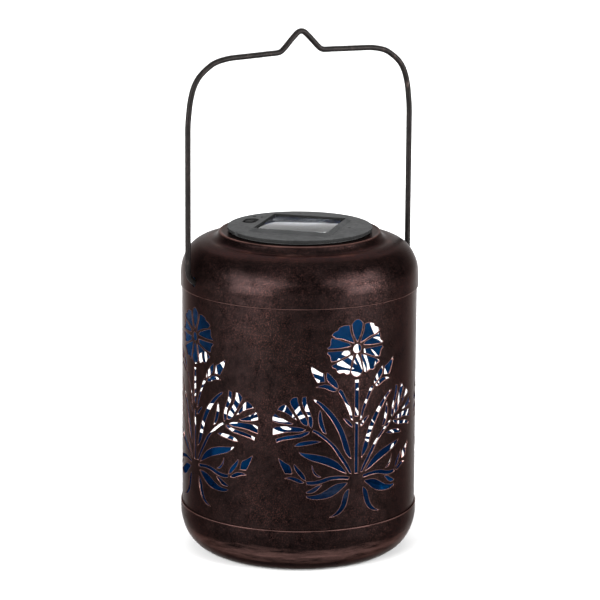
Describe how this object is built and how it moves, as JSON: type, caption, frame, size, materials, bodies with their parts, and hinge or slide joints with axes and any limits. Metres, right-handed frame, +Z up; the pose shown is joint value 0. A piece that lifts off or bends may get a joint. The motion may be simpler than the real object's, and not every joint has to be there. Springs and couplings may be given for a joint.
{
  "type": "solar garden lantern",
  "caption": "Round metal lantern with cut-out flower bouquets, domed lid, swinging wire bail with a hanging peak, and a lift-out solar light module in its neck.",
  "frame": {"origin": "centre of the flat base, where the lantern stands", "axes": "+Z up along the drum's axis towards the bail, X along the bail's hinge line"},
  "size_m": [0.172, 0.16, 0.3544],
  "materials": {
    "painted_bronze": "satin",
    "bail_paint": "satin",
    "black_plastic": "fine texture",
    "black_rubber": "matte",
    "solar_wafer": "satin",
    "clear_epoxy": "gloss",
    "switch_plastic": "matte",
    "board_laminate": "satin",
    "cell_wrap": "gloss",
    "plated_steel": "bright",
    "lamp_lens": "gloss",
    "red_insulation": "satin"
  },
  "bodies": {
    "shell": {"lid_shell": "painted_bronze", "body_sleeve": "painted_bronze", "bottom_pan": "painted_bronze"},
    "bail": {"bail_handle": "bail_paint"},
    "module": {"module_top": "black_plastic", "module_cup": "black_plastic", "seal_ring": "black_rubber", "solar_panel": "solar_wafer", "panel_cover": "clear_epoxy", "switch_case": "switch_plastic", "circuit_board": "board_laminate", "control_chip": "switch_plastic", "choke_coil": "switch_plastic", "battery_cell": "cell_wrap", "battery_spring": "plated_steel", "battery_contact": "plated_steel", "battery_cover": "black_plastic", "cover_screw_1": "plated_steel", "cover_screw_2": "plated_steel", "housing_screw_1": "plated_steel", "housing_screw_2": "plated_steel", "housing_screw_3": "plated_steel", "led_lamp": "lamp_lens", "panel_wire_red": "red_insulation", "panel_wire_black": "black_rubber"},
    "switch": {"switch_knob": "black_plastic"}
  },
  "joints": [
    {"name": "bail_swing", "type": "hinge", "parent": "shell", "child": "bail", "pos_m": [0, 0, 0.1904], "axis": [1, 0, 0], "range_deg": [-145, 145]},
    {"name": "module_lift", "type": "slide", "parent": "shell", "child": "module", "axis": [0, 0, 1], "range_m": [0, 0.06]},
    {"name": "switch_slide", "type": "slide", "parent": "module", "child": "switch", "axis": [0.7071, 0.7071, 0], "range_m": [0, 0.004]}
  ]
}
